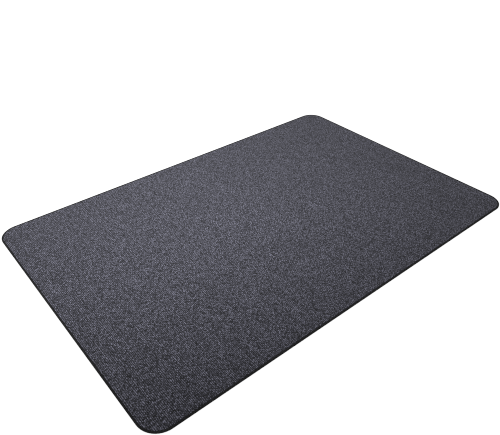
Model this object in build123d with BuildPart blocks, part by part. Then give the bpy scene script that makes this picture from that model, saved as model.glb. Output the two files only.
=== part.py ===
"""Chair mat: a low-pile ribbed carpet sheet on a black grip base, with an overlocked edge.

The mat is a flat laminate with rounded corners. From the floor up it is a rubbery grip base,
a hot-melt bond film, a stabilising scrim and a needle-punched face with fine ribs. A three-thread
overlock seam runs all round: the needle thread lies inboard on the face, and the two looper
threads wrap the edge, one over the top and one underneath, and lock together at the side.

Frame: millimetres, +Z up, origin on the floor under the middle of the mat, long side along X.
"""

import os

from build123d import *

# Overall size
LENGTH = 1200.0
WIDTH = 800.0
CORNER_RADIUS = 50.0

# Layer thicknesses, from the floor up
BASE_THICKNESS = 1.3
FILM_THICKNESS = 0.2
SCRIM_THICKNESS = 0.4
FACE_THICKNESS = 2.3

# Overlocked edge
SEAM_DEPTH = 4.0
LOOPER_THICKNESS = 0.6
NEEDLE_THICKNESS = 0.5
LOOPER_TOP_DROP = 0.1
LOOPER_FLOOR_GAP = 0.2
EDGE_ROUNDING = 0.55

# Heights of the layers
FILM_Z = BASE_THICKNESS
SCRIM_Z = FILM_Z + FILM_THICKNESS
FACE_Z = SCRIM_Z + SCRIM_THICKNESS
TOP_Z = FACE_Z + FACE_THICKNESS

# Heights of the seam
SEAM_TOP_Z = TOP_Z - LOOPER_TOP_DROP
SEAM_BOTTOM_Z = LOOPER_FLOOR_GAP
SHOULDER_TOP_Z = SEAM_TOP_Z - LOOPER_THICKNESS
SHOULDER_BOTTOM_Z = SEAM_BOTTOM_Z + LOOPER_THICKNESS
LOCK_Z = (SEAM_TOP_Z + SEAM_BOTTOM_Z) / 2


def draw_outline(inset, mode=Mode.ADD):
    """Draws the mat's rounded outline, moved in by a distance from its outer edge."""
    RectangleRounded(LENGTH - 2 * inset, WIDTH - 2 * inset, CORNER_RADIUS - inset, mode=mode)


def level(inset, bottom_z, top_z, mode=Mode.ADD):
    """Adds or cuts one flat level of the mat, between two heights, in the part being built."""
    with BuildSketch(Plane.XY.offset(bottom_z)) as outline:
        draw_outline(inset)
    extrude(outline.sketch, amount=top_z - bottom_z, mode=mode)


def needle_line(mode=Mode.ADD):
    """Adds or cuts the closed band of the needle thread, level with the top of the face."""
    with BuildSketch(Plane.XY.offset(TOP_Z - NEEDLE_THICKNESS)) as band:
        draw_outline(SEAM_DEPTH)
        draw_outline(SEAM_DEPTH + NEEDLE_THICKNESS, mode=Mode.SUBTRACT)
    extrude(band.sketch, amount=NEEDLE_THICKNESS, mode=mode)


def save(builder, name):
    """Labels a finished piece and writes its STEP file."""
    builder.part.label = name
    export_step(builder.part, f"parts/{name}.step")


os.makedirs("parts", exist_ok=True)

# Grip base: flat on the floor inside the seam, and thinner where the lower looper thread passes
with BuildPart() as grip_base:
    level(SEAM_DEPTH, 0, SHOULDER_BOTTOM_Z)
    level(LOOPER_THICKNESS, SHOULDER_BOTTOM_Z, BASE_THICKNESS)
save(grip_base, "grip_base")

# Bond film between the base and the scrim
with BuildPart() as bond_film:
    level(LOOPER_THICKNESS, FILM_Z, SCRIM_Z)
save(bond_film, "bond_film")

# Scrim that keeps the face from stretching
with BuildPart() as stabilising_scrim:
    level(LOOPER_THICKNESS, SCRIM_Z, FACE_Z)
save(stabilising_scrim, "stabilising_scrim")

# Face: pressed down to a shoulder under the upper looper thread, and grooved for the needle thread
with BuildPart() as ribbed_face:
    level(LOOPER_THICKNESS, FACE_Z, SHOULDER_TOP_Z)
    level(SEAM_DEPTH, SHOULDER_TOP_Z, TOP_Z)
    needle_line(mode=Mode.SUBTRACT)
save(ribbed_face, "ribbed_face")

# Needle thread: the line of straight stitches on the face
with BuildPart() as needle_thread:
    needle_line()
save(needle_thread, "needle_thread")

# Upper looper thread: over the shoulder of the face and down the side to the lock
with BuildPart() as upper_looper_thread:
    level(0, LOCK_Z, SEAM_TOP_Z)
    fillet(upper_looper_thread.edges().group_by(Axis.Z)[-1], EDGE_ROUNDING)
    level(LOOPER_THICKNESS, LOCK_Z, SHOULDER_TOP_Z, mode=Mode.SUBTRACT)
    level(SEAM_DEPTH, SHOULDER_TOP_Z, SEAM_TOP_Z, mode=Mode.SUBTRACT)
save(upper_looper_thread, "upper_looper_thread")

# Lower looper thread: from under the base up the side to the lock
with BuildPart() as lower_looper_thread:
    level(0, SEAM_BOTTOM_Z, LOCK_Z)
    fillet(lower_looper_thread.edges().group_by(Axis.Z)[0], EDGE_ROUNDING)
    level(LOOPER_THICKNESS, SHOULDER_BOTTOM_Z, LOCK_Z, mode=Mode.SUBTRACT)
    level(SEAM_DEPTH, SEAM_BOTTOM_Z, SHOULDER_BOTTOM_Z, mode=Mode.SUBTRACT)
save(lower_looper_thread, "lower_looper_thread")
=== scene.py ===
import math

import bpy
import numpy as np
from mathutils import Matrix, Vector


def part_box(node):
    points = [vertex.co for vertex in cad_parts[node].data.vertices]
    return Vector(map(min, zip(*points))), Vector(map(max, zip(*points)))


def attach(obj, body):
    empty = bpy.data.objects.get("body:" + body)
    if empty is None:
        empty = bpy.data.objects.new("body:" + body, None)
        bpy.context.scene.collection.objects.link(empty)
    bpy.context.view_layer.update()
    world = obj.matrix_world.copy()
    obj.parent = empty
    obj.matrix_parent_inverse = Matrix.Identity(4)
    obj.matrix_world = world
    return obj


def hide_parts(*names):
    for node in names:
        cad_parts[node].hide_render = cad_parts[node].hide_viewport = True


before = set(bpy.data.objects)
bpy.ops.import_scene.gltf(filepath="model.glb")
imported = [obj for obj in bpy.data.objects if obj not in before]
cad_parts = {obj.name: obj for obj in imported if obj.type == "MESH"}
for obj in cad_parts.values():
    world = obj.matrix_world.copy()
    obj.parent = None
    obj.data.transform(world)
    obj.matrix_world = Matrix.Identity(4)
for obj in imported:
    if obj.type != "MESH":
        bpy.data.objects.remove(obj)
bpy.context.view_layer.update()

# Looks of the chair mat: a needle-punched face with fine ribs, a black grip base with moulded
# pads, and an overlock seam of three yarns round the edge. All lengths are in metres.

MM = 0.001
SEED = 11
RANDOM = np.random.default_rng(SEED)

# Places taken from the frame
SEAM_LOW, SEAM_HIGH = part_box("upper_looper_thread")
FACE_LOW, FACE_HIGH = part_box("ribbed_face")
NEEDLE_LOW, NEEDLE_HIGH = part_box("needle_thread")

HALF_LENGTH = SEAM_HIGH[0]
HALF_WIDTH = SEAM_HIGH[1]
CORNER_RADIUS = 50 * MM
FACE_INSET = HALF_LENGTH - FACE_HIGH[0]
SEAM_INSET = HALF_LENGTH - NEEDLE_HIGH[0]
FACE_TOP = FACE_HIGH[2]
FACE_BOTTOM = FACE_LOW[2]
BASE_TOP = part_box("grip_base")[1][2]
SEAM_TOP = SEAM_HIGH[2]
SEAM_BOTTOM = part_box("lower_looper_thread")[0][2]
LOCK_HEIGHT = SEAM_LOW[2]

# Ribs of the face, and how unevenly their tops sag and their sides sway
RIB_PITCH = 3.6 * MM
RIB_DEPTH = 0.6 * MM
RIB_FULLNESS = 0.8
RIB_SAG = 0.05 * MM
RIB_SAG_RANGE = 1.5
RIB_SWAY = 0.12 * MM
PRESSED_WIDTH = 3.5 * MM

# Points of the face: columns across each rib, rows along the ribs, and rows near the needle thread
COLUMNS_PER_RIB = 4
FACE_ROWS = 52
EDGE_ROWS = np.array([-0.2, 0.5, 1.2, 2.6, 5.6]) * MM

# Slow sideways wandering of the ribs: how far, its length along X, its length along Y, and its phase
RIB_WAVES = [
    (0.40 * MM, 47 * MM, 290 * MM, 0.0),
    (0.30 * MM, 23 * MM, -170 * MM, 1.7),
    (0.25 * MM, 13 * MM, 410 * MM, 4.1),
]

# Fibres of the face: tufts along the ribs, bundles of fibre across them, and loose clumps, with painted
# shade in the gaps between tufts and between clumps
TUFT_PITCH = 3.2 * MM
TUFT_DISORDER = 0.5
TUFT_SHARE = 0.13
FIBRE_TINT = (1.0, 1.0, 1.31)
FIBRE_TURNS = (0.4, 1.5, 2.6)
BUNDLE_WIDTH = 1.15 * MM
BUNDLE_STRETCH = 2.0
BUNDLE_SHARE = 0.29
BUNDLE_FRAY = 0.7 * MM
BUNDLE_FRAY_FINENESS = 1400.0
STRAND_FINENESS = 3400.0
STRAND_STRETCH = 9.0
CLUMP_SIZE = 3.4 * MM
CLUMP_FRAY = 1.5 * MM
CLUMP_FRAY_FINENESS = 500.0

# Grey levels of the fibres, from the deepest shade to full light, as (lightness, level)
HEATHER_LEVELS = [(0.00, 0.001), (0.10, 0.025), (0.25, 0.082), (0.45, 0.142), (0.90, 0.167)]

# Fibres of the scrim, laid in two directions
SCRIM_TURNS = (0.6, 2.1)
SCRIM_STRETCH = 8.0

# Yarns of the seam, and how uneven their stitches are. The needle yarn's sway is in millimetres, and
# a stitch's shift is a share of its pitch.
YARN_THICKNESS = FACE_INSET
YARN_WIDTH = 1.45 * MM
YARN_SIDES = 6
YARN_SQUEEZE = 0.9
NEEDLE_YARN_WIDTH = 0.75 * MM
NEEDLE_YARN_SWAY = 0.05
STITCH_PITCH = 2.6 * MM
STITCH_SHIFT = 0.03
LOOP_UNEVEN_REACH = 0.09 * MM
LOOP_UNEVEN_LOCK = 0.12 * MM
LOOP_UNEVEN_WIDTH = 0.08
LOOP_CLEARANCE = 0.1 * MM
LOCK_OVERLAP = 0.25 * MM

# Grip pads under the base, and the chamfer at its foot
PAD_SIDES = 6
PAD_PITCH = 13 * MM
PAD_GAP = 1.6 * MM
PAD_HEIGHT = 0.35 * MM
PAD_DRAFT = 0.25 * MM
PAD_SUNK = 0.1 * MM
RIM_WIDTH = 9 * MM
BASE_CHAMFER = 0.15 * MM
RING_POINTS_PER_CORNER = 20

# Studio
FLOOR_HALF = 15.0
FLOOR_DROP = 0.1 * MM
FLOOR_GLOW = 0.94
BACKDROP_LIGHT = 0.70


# ---------------------------------------------------------------- the mat's outline

def outline_points(distance, inset):
    """Points inset from the mat's edge, at distances along that edge, and the outward normals there.

    Distance 0 is at the right-hand end of the front long side, and it runs anticlockwise.
    """
    radius = CORNER_RADIUS
    straight_x = 2 * (HALF_LENGTH - radius)
    straight_y = 2 * (HALF_WIDTH - radius)
    arc = math.pi / 2 * radius
    lengths = [arc, straight_y, arc, straight_x, arc, straight_y, arc, straight_x]
    corners = [(1, -1), (1, 1), (-1, 1), (-1, -1)]
    starts = np.concatenate([[0.0], np.cumsum(lengths)])
    distance = np.mod(distance, starts[-1])
    points = np.zeros((len(distance), 2))
    normals = np.zeros((len(distance), 2))
    for side in range(4):
        corner = np.array(corners[side]) * [HALF_LENGTH - radius, HALF_WIDTH - radius]
        start_angle = (side - 1) * math.pi / 2
        on_arc = (distance >= starts[2 * side]) & (distance < starts[2 * side + 1])
        angle = start_angle + (distance[on_arc] - starts[2 * side]) / radius
        normals[on_arc] = np.stack([np.cos(angle), np.sin(angle)], 1)
        points[on_arc] = corner + normals[on_arc] * radius
        on_side = (distance >= starts[2 * side + 1]) & (distance < starts[2 * side + 2])
        end_angle = start_angle + math.pi / 2
        normal = np.array([math.cos(end_angle), math.sin(end_angle)])
        along = np.array([-normal[1], normal[0]])
        travelled = distance[on_side] - starts[2 * side + 1]
        normals[on_side] = normal
        points[on_side] = corner + normal * radius + travelled[:, None] * along
    return points - normals * np.reshape(inset, (-1, 1)), normals


def perimeter():
    """Length of the mat's edge."""
    return 4 * (HALF_LENGTH + HALF_WIDTH) - 8 * CORNER_RADIUS + 2 * math.pi * CORNER_RADIUS


def inside_distance(x, y):
    """How far points on the mat are from its edge."""
    over_x = np.abs(x) - (HALF_LENGTH - CORNER_RADIUS)
    over_y = np.abs(y) - (HALF_WIDTH - CORNER_RADIUS)
    corner = np.hypot(np.maximum(over_x, 0), np.maximum(over_y, 0))
    return CORNER_RADIUS - corner - np.minimum(np.maximum(over_x, over_y), 0)


def smooth_step(low, high, value):
    """0 below low, 1 above high, and a smooth rise between them."""
    part = np.clip((value - low) / (high - low), 0, 1)
    return part * part * (3 - 2 * part)


# ---------------------------------------------------------------- mesh helpers

def new_piece(name, vertices, faces, smooth=True):
    """A mesh object made from arrays of points and lists of corners."""
    mesh = bpy.data.meshes.new(name)
    mesh.from_pydata(np.asarray(vertices).tolist(), [], faces)
    mesh.validate()
    if smooth:
        mesh.shade_smooth()
    piece = bpy.data.objects.new(name, mesh)
    bpy.context.scene.collection.objects.link(piece)
    return piece


def stand_for(piece, node, material):
    """The piece takes a CAD node's place, on the mat's one body."""
    piece.data.materials.append(material)
    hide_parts(node)
    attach(piece, "root")


def grid_faces(rows, columns, closed_rows=False, closed_columns=False):
    """Quads of a grid of points that is stored row by row."""
    row_count = rows if closed_rows else rows - 1
    column_count = columns if closed_columns else columns - 1
    row = np.repeat(np.arange(row_count), column_count)
    column = np.tile(np.arange(column_count), row_count)
    next_row = (row + 1) % rows
    next_column = (column + 1) % columns
    quads = [
        row * columns + column,
        row * columns + next_column,
        next_row * columns + next_column,
        next_row * columns + column,
    ]
    return np.stack(quads, 1).tolist()


# ---------------------------------------------------------------- material helpers

class Nodes:
    """A procedural material, built up node by node."""

    def __init__(self, name):
        self.material = bpy.data.materials.new(name)
        self.material.use_nodes = True
        self.tree = self.material.node_tree
        self.shader = self.tree.nodes["Principled BSDF"]
        self.place = self.add("ShaderNodeTexCoord").outputs["Object"]

    def add(self, kind, settings=None, **inputs):
        """A node with its settings, and inputs that are numbers, colours or other sockets."""
        node = self.tree.nodes.new(kind)
        for key, value in (settings or {}).items():
            setattr(node, key, value)
        for key, value in inputs.items():
            socket = node.inputs[int(key[1:])] if key[0] == "_" else node.inputs[key]
            self.plug(value, socket)
        return node

    def plug(self, value, socket):
        """Links a socket to another, or sets its number or colour."""
        if isinstance(value, bpy.types.NodeSocket):
            self.tree.links.new(value, socket)
        else:
            socket.default_value = value

    def stretch(self, scale, place=(0, 0, 0)):
        """The object's own coordinates, scaled and moved."""
        inputs = {"Vector": self.place, "Scale": scale, "Location": place}
        return self.add("ShaderNodeMapping", **inputs).outputs[0]

    def along(self, turn, length):
        """The object's own coordinates, turned about Z and drawn out along the turned Y."""
        inputs = {"Vector": self.place, "Rotation": (0, 0, turn), "Scale": (1.0, length, 1.0)}
        return self.add("ShaderNodeMapping", {"vector_type": "TEXTURE"}, **inputs).outputs[0]

    def ragged(self, vector, amount, scale):
        """Coordinates pushed about by noise, so that what is drawn on them has ragged edges."""
        noise = self.add("ShaderNodeTexNoise", Vector=vector, Scale=scale, Detail=2.0)
        push = self.add("ShaderNodeVectorMath", {"operation": "SCALE"}, _0=noise.outputs["Color"])
        push.inputs["Scale"].default_value = amount
        pushed = self.add("ShaderNodeVectorMath", {"operation": "ADD"}, _0=vector, _1=push.outputs[0])
        return pushed.outputs[0]

    def noise(self, vector, scale, detail=2.0, roughness=0.5):
        """Soft noise from 0 to 1."""
        inputs = {"Vector": vector, "Scale": scale, "Detail": detail, "Roughness": roughness}
        return self.add("ShaderNodeTexNoise", **inputs).outputs["Fac"]

    def cells(self, vector, scale, output="Color", randomness=1.0):
        """Cells with a random colour each, or the distance to each cell's centre."""
        node = self.add("ShaderNodeTexVoronoi", Vector=vector, Scale=scale, Randomness=randomness)
        return node.outputs[output]

    def math(self, operation, first, second=0.0):
        """One sum on two numbers."""
        return self.add("ShaderNodeMath", {"operation": operation}, _0=first, _1=second).outputs[0]

    def times(self, first, second):
        """Two numbers multiplied."""
        return self.math("MULTIPLY", first, second)

    def channel(self, colour, index):
        """One channel of a colour."""
        return self.add("ShaderNodeSeparateColor", Color=colour).outputs[index]

    def remap(self, value, low, high, new_low, new_high):
        """A value moved from one range to another, and held inside it."""
        node = self.add("ShaderNodeMapRange", Value=value)
        limits = {"From Min": low, "From Max": high, "To Min": new_low, "To Max": new_high}
        for key, limit in limits.items():
            node.inputs[key].default_value = limit
        return node.outputs[0]

    def mix(self, factor, first, second):
        """Two colours mixed. Inputs 6 and 7 of the node are its colours, after those for other data."""
        node = self.add("ShaderNodeMix", {"data_type": "RGBA"})
        for index, value in ((0, factor), (6, first), (7, second)):
            self.plug(value, node.inputs[index])
        return node.outputs[2]

    def ramp(self, value, stops):
        """A value turned into a colour through stops of (place, colour)."""
        node = self.add("ShaderNodeValToRGB", Fac=value)
        elements = node.color_ramp.elements
        while len(elements) < len(stops):
            elements.new(0.5)
        for element, (place, colour) in zip(elements, stops):
            element.position = place
            element.color = colour
        return node.outputs[0]

    def bump(self, height, distance, strength=1.0, under=None):
        """Fine relief of a given height in metres."""
        node = self.add("ShaderNodeBump", Height=height, Distance=distance, Strength=strength)
        if under is not None:
            self.plug(under, node.inputs["Normal"])
        return node.outputs[0]

    def surface(self, **values):
        """Sets or links the shader's inputs, named with _ for a space."""
        for key, value in values.items():
            self.plug(value, self.shader.inputs[key.replace("_", " ")])


def grey(level, tint=(1.0, 1.0, 1.0)):
    """A colour of one level, with a tint."""
    return (level * tint[0], level * tint[1], level * tint[2], 1.0)


# ---------------------------------------------------------------- materials

def rib_crowns(fabric):
    """From -1 in the valleys between the wandering ribs to 1 on their crowns."""
    axes = fabric.add("ShaderNodeSeparateXYZ", Vector=fabric.place).outputs
    across = axes[0]
    for reach, length_x, length_y, phase in RIB_WAVES:
        wave_x = fabric.times(axes[0], 2 * math.pi / length_x)
        wave_y = fabric.times(axes[1], 2 * math.pi / length_y)
        wave = fabric.math("ADD", fabric.math("ADD", wave_x, wave_y), phase)
        across = fabric.math("ADD", across, fabric.times(fabric.math("SINE", wave), reach))
    return fabric.math("COSINE", fabric.times(across, 2 * math.pi / RIB_PITCH))


def face_fabric():
    """Heathered charcoal polyester: dark and light fibres punched into dotted ribs."""
    fabric = Nodes("face_fabric")

    # Tufts: one across each rib, and a little closer together along it
    lattice = fabric.stretch((1 / RIB_PITCH, 1 / TUFT_PITCH, 0.0), (0.5, 0.0, 0.0))
    tuft_level = fabric.channel(fabric.cells(lattice, 1.0, randomness=TUFT_DISORDER), 0)
    tuft_distance = fabric.cells(lattice, 1.0, "Distance", randomness=TUFT_DISORDER)

    # Bundles of fibre, each dark or light, lie across each other in three directions
    level = fabric.times(tuft_level, TUFT_SHARE)
    strands = 0.0
    for turn in FIBRE_TURNS:
        lengthways = fabric.along(turn, BUNDLE_STRETCH)
        bundle = fabric.ragged(lengthways, BUNDLE_FRAY, BUNDLE_FRAY_FINENESS)
        bundle_level = fabric.channel(fabric.cells(bundle, 1 / BUNDLE_WIDTH), 1)
        level = fabric.math("ADD", level, fabric.times(bundle_level, BUNDLE_SHARE))
        strand = fabric.noise(fabric.along(turn, STRAND_STRETCH), STRAND_FINENESS, roughness=0.6)
        strands = fabric.math("MAXIMUM", strands, strand)
    heather = fabric.remap(level, 0.31, 0.61, 0.0, 1.05)

    # Painted shade: the colour is darkened in the valleys between ribs and in the gaps between tufts and
    # between clumps, and painted sheen lightens the fibre strands
    # painted shade in the valleys between the ribs, lightest on their crowns
    crown = fabric.remap(rib_crowns(fabric), -0.8, 0.7, 0.28, 1.05)
    # painted shade in the gaps between tufts
    tuft_gap_shade = fabric.remap(tuft_distance, 0.15, 0.6, 1.0, 0.25)
    clump_place = fabric.ragged(fabric.place, CLUMP_FRAY, CLUMP_FRAY_FINENESS)
    clump_distance = fabric.cells(clump_place, 1 / CLUMP_SIZE, "Distance")
    # painted shade in the gaps between clumps
    clump_gap_shade = fabric.remap(clump_distance, 0.25, 0.7, 1.15, 0.35)
    # painted sheen: the fibre strands are lightened in the colour
    painted_strand_sheen = fabric.remap(strands, 0.5, 0.75, 0.6, 1.5)
    clouds = fabric.noise(fabric.place, 9.0, detail=3.0, roughness=0.6)
    lightness = fabric.times(heather, fabric.remap(clouds, 0.3, 0.7, 0.94, 1.06))
    # the painted shade and painted sheen are multiplied into the fibres' lightness
    for part in (crown, tuft_gap_shade, clump_gap_shade, painted_strand_sheen):
        lightness = fabric.times(lightness, part)
    stops = [(place, grey(shade, FIBRE_TINT)) for place, shade in HEATHER_LEVELS]
    colour = fabric.ramp(lightness, stops)

    relief = fabric.bump(fabric.times(tuft_distance, -1.0), 0.5 * MM, 0.6)
    relief = fabric.bump(strands, 0.25 * MM, 1.0, relief)
    roughness = fabric.remap(strands, 0.5, 0.75, 0.95, 0.7)
    fabric.surface(Base_Color=colour, Normal=relief, Roughness=roughness)
    fabric.surface(Specular_IOR_Level=0.2, Sheen_Weight=0.12, Sheen_Roughness=0.5)
    fabric.surface(Sheen_Tint=(0.9, 0.9, 1.0, 1.0))
    return fabric.material


def seam_thread():
    """Black bulked polyester yarn, with its plies showing as fine slanting lines."""
    thread = Nodes("seam_thread")
    plies = thread.noise(thread.stretch((1.0, 1.0, 2.5)), 2200.0, detail=3.0, roughness=0.7)
    fuzz = thread.noise(thread.place, 700.0, detail=3.0, roughness=0.6)
    wear = thread.noise(thread.place, 35.0, detail=3.0, roughness=0.6)
    level = thread.math("ADD", thread.times(plies, 0.6), thread.times(fuzz, 0.4))
    cool = (1.0, 1.0, 1.05)
    warm = (1.0, 0.99, 0.97)
    dark = thread.ramp(level, [(0.3, grey(0.003)), (0.55, grey(0.007)), (0.8, grey(0.016, cool))])
    worn = thread.ramp(level, [(0.3, grey(0.005)), (0.55, grey(0.011)), (0.8, grey(0.024, warm))])
    colour = thread.mix(thread.remap(wear, 0.45, 0.7, 0.0, 1.0), dark, worn)
    relief = thread.bump(plies, 0.12 * MM, 0.8)
    roughness = thread.remap(fuzz, 0.3, 0.7, 0.6, 0.85)
    thread.surface(Base_Color=colour, Normal=relief, Roughness=roughness)
    thread.surface(Specular_IOR_Level=0.12, Sheen_Weight=0.03, Sheen_Roughness=0.4)
    return thread.material


def grip_rubber():
    """Matt black rubber with a fine leathery grain, and a little bloom and dust in random patches."""
    rubber = Nodes("grip_rubber")
    grain = rubber.cells(rubber.place, 1500.0, "Distance")
    pores = rubber.noise(rubber.place, 900.0, detail=4.0, roughness=0.6)
    bloom = rubber.noise(rubber.place, 14.0, detail=4.0, roughness=0.6)
    dust = rubber.noise(rubber.place, 240.0, detail=3.0, roughness=0.7)
    black = rubber.ramp(pores, [(0.35, grey(0.011)), (0.65, grey(0.020))])
    grey_bloom = rubber.ramp(pores, [(0.35, grey(0.020)), (0.65, grey(0.036, (1.0, 1.0, 1.04)))])
    colour = rubber.mix(rubber.remap(bloom, 0.42, 0.68, 0.0, 0.8), black, grey_bloom)
    dusty = grey(0.09, (1.0, 0.97, 0.92))
    colour = rubber.mix(rubber.remap(dust, 0.62, 0.8, 0.0, 0.35), colour, dusty)
    relief = rubber.bump(grain, 0.08 * MM, 0.5)
    relief = rubber.bump(pores, 0.05 * MM, 0.5, relief)
    roughness = rubber.remap(bloom, 0.3, 0.7, 0.58, 0.8)
    rubber.surface(Base_Color=colour, Normal=relief, Roughness=roughness, Specular_IOR_Level=0.4)
    return rubber.material


def scrim_fabric():
    """Dark nonwoven scrim: crossing fibres pressed flat."""
    scrim = Nodes("scrim_fabric")
    web = 0.0
    for turn in SCRIM_TURNS:
        fibres = scrim.noise(scrim.along(turn, SCRIM_STRETCH), 900.0)
        web = scrim.math("MAXIMUM", web, fibres)
    colour = scrim.ramp(web, [(0.4, grey(0.012)), (0.6, grey(0.035)), (0.75, grey(0.075))])
    scrim.surface(Base_Color=colour, Normal=scrim.bump(web, 0.1 * MM, 0.6), Roughness=0.9)
    return scrim.material


def bond_film():
    """Hot-melt film: milky, with small bubbles from the laminating rollers."""
    film = Nodes("bond_film")
    haze = film.noise(film.place, 60.0, detail=3.0)
    bubbles = film.cells(film.place, 320.0, "Distance")
    thin = grey(0.22, (1.0, 0.96, 0.86))
    thick = grey(0.34, (1.0, 0.97, 0.9))
    milky = film.ramp(haze, [(0.35, thin), (0.65, thick)])
    colour = film.mix(film.remap(bubbles, 0.05, 0.2, 0.5, 0.0), milky, grey(0.5))
    film.surface(Base_Color=colour, Normal=film.bump(bubbles, 0.05 * MM, 0.4), Roughness=0.45)
    return film.material


# ---------------------------------------------------------------- the face

def face_grid():
    """Columns across the ribs, and rows along them that close up towards the seam."""
    half_x = HALF_LENGTH - FACE_INSET
    ribs = round(2 * half_x / RIB_PITCH)
    x = np.linspace(-half_x, half_x, ribs * COLUMNS_PER_RIB + 1)
    radius = CORNER_RADIUS - FACE_INSET
    over = np.clip(np.abs(x) - (half_x - radius), 0, radius)
    reach = HALF_WIDTH - FACE_INSET - radius + np.sqrt(radius**2 - over**2)
    seam_reach = SEAM_INSET - FACE_INSET
    edge_steps = [0.0, *(seam_reach + EDGE_ROWS)]
    rows = []
    for step in edge_steps:
        rows.append(-reach + step)
    for part in np.linspace(-1, 1, FACE_ROWS + 2)[1:-1]:
        rows.append(part * (reach - edge_steps[-1]))
    for step in edge_steps[::-1]:
        rows.append(reach - step)
    y = np.stack(rows)
    return np.broadcast_to(x, y.shape), y


def rib_wander(x, y):
    """How far the ribs stand to the side of their regular places."""
    wander = np.zeros(x.shape)
    for reach, length_x, length_y, phase in RIB_WAVES:
        wander += reach * np.sin(2 * math.pi * (x / length_x + y / length_y) + phase)
    return wander


def make_face():
    """The ribbed face, pressed down under the seam, as a closed sheet of its real thickness."""
    x, y = face_grid()
    rows, columns = x.shape
    phase = np.cos(2 * math.pi * x / RIB_PITCH)
    crown = (0.5 + 0.5 * phase) ** RIB_FULLNESS
    rib = np.round(x / RIB_PITCH).astype(int)
    rib -= rib.min()
    wander = RANDOM.normal(0, 1, (rows + 2, rib.max() + 1))
    wander = (wander[:-2] + 2 * wander[1:-1] + wander[2:]) / 4
    unevenness = np.take_along_axis(wander, rib, 1)
    depth = inside_distance(x, y)
    shoulder = SEAM_TOP - YARN_THICKNESS
    pressed = smooth_step(SEAM_INSET, SEAM_INSET + PRESSED_WIDTH, depth)
    sag = RIB_SAG * (RIB_SAG_RANGE + unevenness.clip(-RIB_SAG_RANGE, RIB_SAG_RANGE)) * crown
    ribbed = FACE_TOP - RIB_DEPTH * (1 - crown) - sag
    top = shoulder + (ribbed - shoulder) * pressed
    x = x + (RIB_SWAY * unevenness - rib_wander(x, y)) * pressed
    upper = np.stack([x, y, top], 2).reshape(-1, 3)
    faces = grid_faces(rows, columns)

    bottom_row = np.arange(columns)
    right_column = np.arange(1, rows) * columns + columns - 1
    top_row = (rows - 1) * columns + np.arange(columns - 2, -1, -1)
    left_column = np.arange(rows - 2, 0, -1) * columns
    rim = np.concatenate([bottom_row, right_column, top_row, left_column])
    floor = upper[rim] * [1, 1, 0] + [0, 0, FACE_BOTTOM]
    count = len(rim)
    start = len(upper)
    for index in range(count):
        following = (index + 1) % count
        faces.append([int(rim[following]), int(rim[index]), start + index, start + following])
    faces.append(list(range(start + count - 1, start - 1, -1)))
    face = new_piece("ribbed_face_pile", np.concatenate([upper, floor]), faces)
    face.data.polygons[len(faces) - 1].use_smooth = False
    return face


# ---------------------------------------------------------------- the base

def ring_points(inset, height):
    """One closed level of the base's outline."""
    arc = math.pi / 2 * CORNER_RADIUS
    straights = [2 * (HALF_WIDTH - CORNER_RADIUS), 2 * (HALF_LENGTH - CORNER_RADIUS)] * 2
    distances = []
    start = 0.0
    for straight in straights:
        distances.extend(start + arc * np.linspace(0, 1, RING_POINTS_PER_CORNER, endpoint=False))
        distances.append(start + arc)
        start += arc + straight
    points, _ = outline_points(np.array(distances), inset)
    return np.column_stack([points, np.full(len(points), height)])


def pad_centres():
    """Centres of the grip pads, in staggered rows that keep clear of the rim."""
    row_step = PAD_PITCH * math.sqrt(3) / 2
    rows = int(HALF_WIDTH / row_step)
    columns = int(HALF_LENGTH / PAD_PITCH) + 1
    centres = []
    for row in range(-rows, rows + 1):
        for column in range(-columns, columns + 1):
            x = (column + 0.5 * (row % 2)) * PAD_PITCH
            centres.append((x, row * row_step))
    centres = np.array(centres)
    clear = SEAM_INSET + RIM_WIDTH + PAD_GAP + PAD_PITCH / 2
    return centres[inside_distance(centres[:, 0], centres[:, 1]) > clear]


def make_base():
    """The grip base: a sheet with a rim, and six-sided pads that stand on the floor inside it."""
    levels = [
        (FACE_INSET, BASE_TOP),
        (FACE_INSET, SEAM_BOTTOM + YARN_THICKNESS),
        (SEAM_INSET, SEAM_BOTTOM + YARN_THICKNESS),
        (SEAM_INSET, BASE_CHAMFER),
        (SEAM_INSET + BASE_CHAMFER, 0.0),
        (SEAM_INSET + RIM_WIDTH, 0.0),
        (SEAM_INSET + RIM_WIDTH + PAD_DRAFT, PAD_HEIGHT),
    ]
    rings = [ring_points(inset, height) for inset, height in levels]
    per_ring = len(rings[0])
    vertices = np.concatenate(rings)
    faces = [quad[::-1] for quad in grid_faces(len(rings), per_ring, closed_columns=True)]
    faces.append(list(range(per_ring)))
    last = (len(rings) - 1) * per_ring
    faces.append(list(range(last + per_ring - 1, last - 1, -1)))

    centres = pad_centres()
    half_side = math.pi / PAD_SIDES
    corner_angles = half_side + np.arange(PAD_SIDES) * 2 * half_side
    corner = np.stack([np.cos(corner_angles), np.sin(corner_angles)], 1)
    pad_radius = (PAD_PITCH - PAD_GAP) / 2 / math.cos(half_side)
    pad_levels = [(pad_radius, PAD_HEIGHT + PAD_SUNK), (pad_radius - PAD_DRAFT, 0.0)]
    pad = np.concatenate([
        np.column_stack([corner * radius, np.full(PAD_SIDES, height)]) for radius, height in pad_levels
    ])
    pads = pad[None] + np.column_stack([centres, np.zeros(len(centres))])[:, None]
    for index in range(len(centres)):
        upper = len(vertices) + index * len(pad)
        lower = upper + PAD_SIDES
        for side in range(PAD_SIDES):
            following = (side + 1) % PAD_SIDES
            faces.append([upper + side, lower + side, lower + following, upper + following])
        faces.append([upper + side for side in range(PAD_SIDES)])
        faces.append([lower + side for side in reversed(range(PAD_SIDES))])
    points = np.concatenate([vertices, pads.reshape(-1, 3)])
    return new_piece("grip_base_sheet", points, faces, smooth=False)


# ---------------------------------------------------------------- the seam

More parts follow.
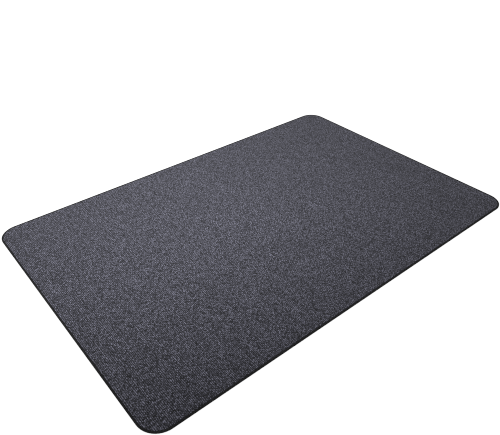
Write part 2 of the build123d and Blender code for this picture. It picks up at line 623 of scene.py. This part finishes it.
def yarn(name, distance, inset, height, lean, width, thickness):
    """A flattened yarn round the mat, through points given by distance, inset and height.

    lean turns the yarn's flat side from facing up (0) to facing out (90 degrees) and down (180).
    """
    flat, outward = outline_points(distance, inset)
    centre = np.column_stack([flat, height])
    normal = np.column_stack([outward * np.sin(lean)[:, None], np.cos(lean)])
    tangent = np.roll(centre, -1, 0) - np.roll(centre, 1, 0)
    across = np.cross(tangent, normal)
    across /= np.linalg.norm(across, axis=1)[:, None]
    turn = np.arange(YARN_SIDES) * 2 * math.pi / YARN_SIDES
    wide = across[:, None] * (np.cos(turn)[None, :, None] * np.reshape(width, (-1, 1, 1)) / 2)
    thick = normal[:, None] * (np.sin(turn)[None, :, None] * np.reshape(thickness, (-1, 1, 1)) / 2)
    rings = centre[:, None] + wide + thick
    faces = grid_faces(len(centre), YARN_SIDES, closed_rows=True, closed_columns=True)
    return new_piece(name, rings.reshape(-1, 3), faces)


def stitch_places(parts):
    """Distances along the edge of the points of every stitch, from their places inside one stitch."""
    count = round(perimeter() / STITCH_PITCH)
    pitch = perimeter() / count
    start = np.arange(count)[:, None] + RANDOM.normal(0, STITCH_SHIFT, (count, 1))
    return ((start + np.array(parts)[None]) * pitch).ravel(), count


def make_looper(name, shift, outer_height, lock_height):
    """A looper yarn: from the needle line out to the lock at the side and back, once a stitch.

    outer_height is the height of the yarn's middle over or under the mat, and lock_height that of
    its turning point at the side.
    """
    # Place in the stitch, share of the way in from the side, share of the way to the lock, lean
    path = [
        (0.00, 1.00, 0.10, 0.0),
        (0.10, 0.78, -0.10, 0.0),
        (0.19, 0.42, -0.12, 0.0),
        (0.26, 0.10, -0.06, 25.0),
        (0.31, 0.00, 0.14, 75.0),
        (0.38, -0.02, 0.80, 90.0),
        (0.50, -0.02, 1.00, 90.0),
        (0.60, -0.02, 0.72, 90.0),
        (0.67, 0.00, 0.12, 75.0),
        (0.72, 0.11, -0.08, 25.0),
        (0.85, 0.62, -0.12, 0.0),
    ]
    places, inward, down, lean = (np.array(values) for values in zip(*path))
    distance, count = stitch_places(places + shift)
    deepest = SEAM_INSET - YARN_THICKNESS / 2
    inset = YARN_THICKNESS / 2 + np.tile(inward, count) * (deepest - LOOP_CLEARANCE)
    uneven = RANDOM.normal(0, 1, (3, count)).clip(-2, 2)
    inset += np.repeat(uneven[0], len(path)) * LOOP_UNEVEN_REACH * np.tile(inward, count)
    height = outer_height + np.tile(down, count) * (lock_height - outer_height)
    near_lock = np.tile(down, count) > 0.5
    height += np.repeat(uneven[1], len(path)) * LOOP_UNEVEN_LOCK * near_lock
    lean = np.radians(np.tile(lean, count))
    if lock_height > outer_height:
        lean = math.pi - lean
    width = YARN_WIDTH * (1 + LOOP_UNEVEN_WIDTH * np.repeat(uneven[2], len(path)))
    return yarn(name, distance, inset, height, lean, width, YARN_THICKNESS * YARN_SQUEEZE)


def make_needle_thread():
    """The needle yarn: one straight stitch after another, dipping into the face between them."""
    # Place in the stitch, and dip in yarn thicknesses
    path = [(0.0, 0.75), (0.2, 0.2), (0.5, 0.0), (0.8, 0.2)]
    places, dip = (np.array(values) for values in zip(*path))
    distance, count = stitch_places(places)
    thickness = NEEDLE_HIGH[2] - NEEDLE_LOW[2]
    height = NEEDLE_HIGH[2] - thickness / 2 - np.tile(dip, count) * thickness
    sideways = np.repeat(RANDOM.normal(0, NEEDLE_YARN_SWAY, count), len(path)) * MM
    inset = SEAM_INSET + thickness / 2 + sideways
    lean = np.zeros(len(distance))
    return yarn("needle_yarn", distance, inset, height, lean, NEEDLE_YARN_WIDTH, thickness)


# ---------------------------------------------------------------- putting the mat together

thread_material = seam_thread()

face = make_face()
stand_for(face, "ribbed_face", face_fabric())

stand_for(make_base(), "grip_base", grip_rubber())

upper_height = SEAM_TOP - YARN_THICKNESS / 2
lower_height = SEAM_BOTTOM + YARN_THICKNESS / 2
upper_looper = make_looper("upper_looper_yarn", 0.0, upper_height, LOCK_HEIGHT - LOCK_OVERLAP)
stand_for(upper_looper, "upper_looper_thread", thread_material)
lower_looper = make_looper("lower_looper_yarn", 0.5, lower_height, LOCK_HEIGHT + LOCK_OVERLAP)
stand_for(lower_looper, "lower_looper_thread", thread_material)
stand_for(make_needle_thread(), "needle_thread", thread_material)

for node, material in (("stabilising_scrim", scrim_fabric()), ("bond_film", bond_film())):
    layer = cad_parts[node]
    layer.data.materials.clear()
    layer.data.materials.append(material)


# ---------------------------------------------------------------- floor, light and camera

def make_floor():
    """A plain white floor, a little under the mat so that their faces don't coincide."""
    turns = [(-1, -1), (1, -1), (1, 1), (-1, 1)]
    corners = [(x * FLOOR_HALF, y * FLOOR_HALF, -FLOOR_DROP) for x, y in turns]
    floor = new_piece("studio_floor", corners, [[0, 1, 2, 3]], smooth=False)
    white = Nodes("studio_floor")
    speckle = white.noise(white.place, 40.0)
    paint = white.ramp(speckle, [(0.3, grey(0.11)), (0.7, grey(0.12))])
    white.surface(Base_Color=paint, Roughness=0.9, Emission_Color=grey(1.0), Emission_Strength=FLOOR_GLOW)
    floor.data.materials.append(white.material)


def make_softbox(name, place, target, size, power):
    """A square area light, aimed at a point."""
    light = bpy.data.lights.new(name, "AREA")
    light.shape = "SQUARE"
    light.size = size
    light.energy = power
    lamp = bpy.data.objects.new(name, light)
    lamp.location = place
    lamp.visible_camera = False
    lamp.rotation_euler = (Vector(target) - Vector(place)).to_track_quat("-Z", "Y").to_euler()
    bpy.context.scene.collection.objects.link(lamp)


def make_camera():
    """A camera that orbits a point near the middle of the mat."""
    azimuth = math.radians(-39.36)
    elevation = math.radians(35.71)
    roll = math.radians(-0.14)
    distance = 1.529
    target = Vector((-0.0211, 0.0220, 0.0))
    back = Vector((
        math.sin(azimuth) * math.cos(elevation),
        -math.cos(azimuth) * math.cos(elevation),
        math.sin(elevation),
    ))
    right = Vector((0, 0, 1)).cross(back).normalized()
    turned = Matrix((right, back.cross(right), back)).transposed() @ Matrix.Rotation(roll, 3, "Z")
    lens = bpy.data.cameras.new("camera")
    lens.lens = 38.98
    lens.sensor_width = 36.0
    lens.clip_start = 0.01
    camera = bpy.data.objects.new("camera", lens)
    camera.matrix_world = Matrix.Translation(target + back * distance) @ turned.to_4x4()
    bpy.context.scene.collection.objects.link(camera)
    bpy.context.scene.camera = camera


def make_world():
    """A white backdrop that lights the mat softly from all round."""
    world = bpy.data.worlds.new("studio")
    world.use_nodes = True
    nodes = world.node_tree.nodes
    links = world.node_tree.links
    lighting = nodes["Background"]
    lighting.inputs["Color"].default_value = (1.0, 1.0, 1.0, 1.0)
    lighting.inputs["Strength"].default_value = BACKDROP_LIGHT
    backdrop = nodes.new("ShaderNodeBackground")
    backdrop.inputs["Color"].default_value = (1.0, 1.0, 1.0, 1.0)
    rays = nodes.new("ShaderNodeLightPath")
    choice = nodes.new("ShaderNodeMixShader")
    links.new(rays.outputs["Is Camera Ray"], choice.inputs["Fac"])
    links.new(lighting.outputs[0], choice.inputs[1])
    links.new(backdrop.outputs[0], choice.inputs[2])
    links.new(choice.outputs[0], nodes["World Output"].inputs["Surface"])
    bpy.context.scene.world = world


make_floor()
make_softbox("key", place=(-0.26, 0.015, 0.87), target=(0.03, 1.215, 0.0), size=0.8, power=18.8)
make_camera()
make_world()
bpy.context.scene.view_settings.view_transform = "Standard"

# The heather is as fine as a pixel: the denoiser would smooth it away, and a wide filter would blur it
bpy.context.scene.cycles.use_denoising = False
bpy.context.scene.cycles.filter_width = 1.1
